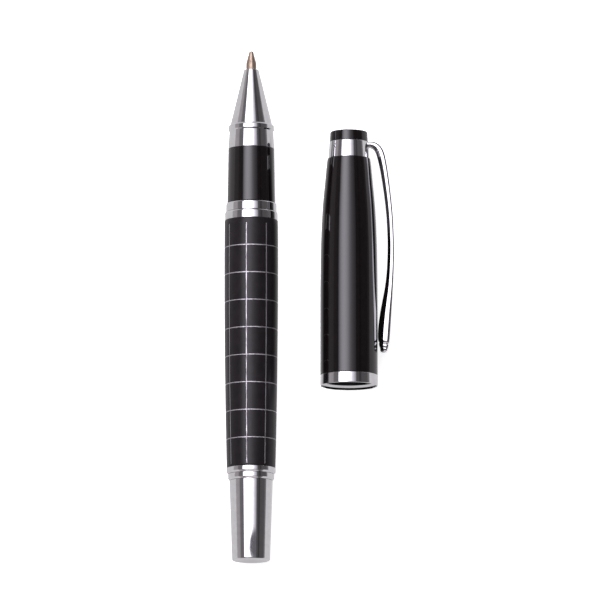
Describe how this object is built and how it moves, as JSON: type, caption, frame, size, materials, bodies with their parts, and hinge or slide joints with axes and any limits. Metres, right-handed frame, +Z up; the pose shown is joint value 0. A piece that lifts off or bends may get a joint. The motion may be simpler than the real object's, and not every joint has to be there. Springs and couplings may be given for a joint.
{
  "type": "rollerball pen",
  "caption": "Metal rollerball pen lying beside its clipped cap: engraved barrel that unscrews, sprung refill, grip and nose cone, and a push-on cap that travels onto the pen.",
  "frame": {"origin": "centre of the pen's flat tail face, on the pen's axis", "axes": "+Y along the pen's axis towards the writing tip, +X towards the cap beside it, +Z up from the table"},
  "size_m": [0.0384, 0.1166, 0.013],
  "materials": {
    "polished_chrome": "mirror polished plating",
    "gloss_black": "gloss black lacquer on brass",
    "satin_black": "satin black lacquer, engraved through to bright plating",
    "brass": "turned",
    "refill_steel": "drawn tube",
    "spring_steel": "drawn wire",
    "nickel_silver": "turned nickel silver",
    "hard_ball": "lapped carbide",
    "refill_plastic": "moulded",
    "follower_plastic": "moulded, translucent",
    "liner_plastic": "moulded",
    "seal_rubber": "moulded"
  },
  "bodies": {
    "front_section": {"nose_cone": "polished_chrome", "grip_section": "gloss_black", "section_ring": "polished_chrome", "section_sleeve": "brass"},
    "refill": {"refill_tube": "refill_steel", "refill_end_plug": "refill_plastic", "refill_housing": "refill_plastic", "refill_tip": "nickel_silver"},
    "ball": {"roller_ball": "hard_ball"},
    "follower": {"ink_follower": "follower_plastic"},
    "thread_seal": {"thread_o_ring": "seal_rubber"},
    "barrel": {"barrel_tube": "satin_black", "barrel_ring": "polished_chrome", "barrel_bush": "brass", "tail_connector": "brass", "tail_cone": "polished_chrome", "tail_ring_rear": "polished_chrome", "tail_ring_front": "polished_chrome", "refill_spring": "spring_steel"},
    "cap": {"cap_lip_ring": "polished_chrome", "cap_tube": "gloss_black", "cap_liner": "liner_plastic", "cap_bush": "brass", "cap_screw": "brass", "cap_ring": "polished_chrome", "cap_finial": "gloss_black"},
    "clip": {"pocket_clip": "polished_chrome"}
  },
  "joints": [
    {"name": "refill_float", "type": "slide", "parent": "front_section", "child": "refill", "axis": [0, 1, 0], "range_m": [-0.0015, 0], "stiffness_N_per_m": 250, "springref_m": 0.004, "deforming": ["refill_spring"]},
    {"name": "ball_roll", "type": "hinge", "parent": "refill", "child": "ball", "pos_m": [0, 0.1163, 0], "axis": [1, 0, 0], "continuous": true},
    {"name": "barrel_turn", "type": "hinge", "parent": "front_section", "child": "thread_seal", "pos_m": [0, 0.0788, 0], "axis": [0, 1, 0], "range_deg": [-2405, 0]},
    {"name": "barrel_advance", "type": "slide", "parent": "thread_seal", "child": "barrel", "axis": [0, 1, 0], "range_m": [-0.005, 0]},
    {"name": "cap_push", "type": "slide", "parent": "front_section", "child": "follower", "axis": [0, -1, 0], "range_m": [0, 0.089]},
    {"name": "cap_carry", "type": "slide", "parent": "follower", "child": "cap", "axis": [-0.169, 0.9856, -0.0034], "range_m": [0, 0.13078]},
    {"name": "clip_flex", "type": "hinge", "parent": "cap", "child": "clip", "pos_m": [0.0255, 0.09494, 0.00044], "axis": [0, 0, -1], "range_deg": [-5, 0], "stiffness_Nm_per_rad": 0.8, "springref_deg": 1.15}
  ],
  "couplings": [
    {"joint": "barrel_turn", "follows": "barrel_advance", "rad_per_m": 8377.6}
  ]
}
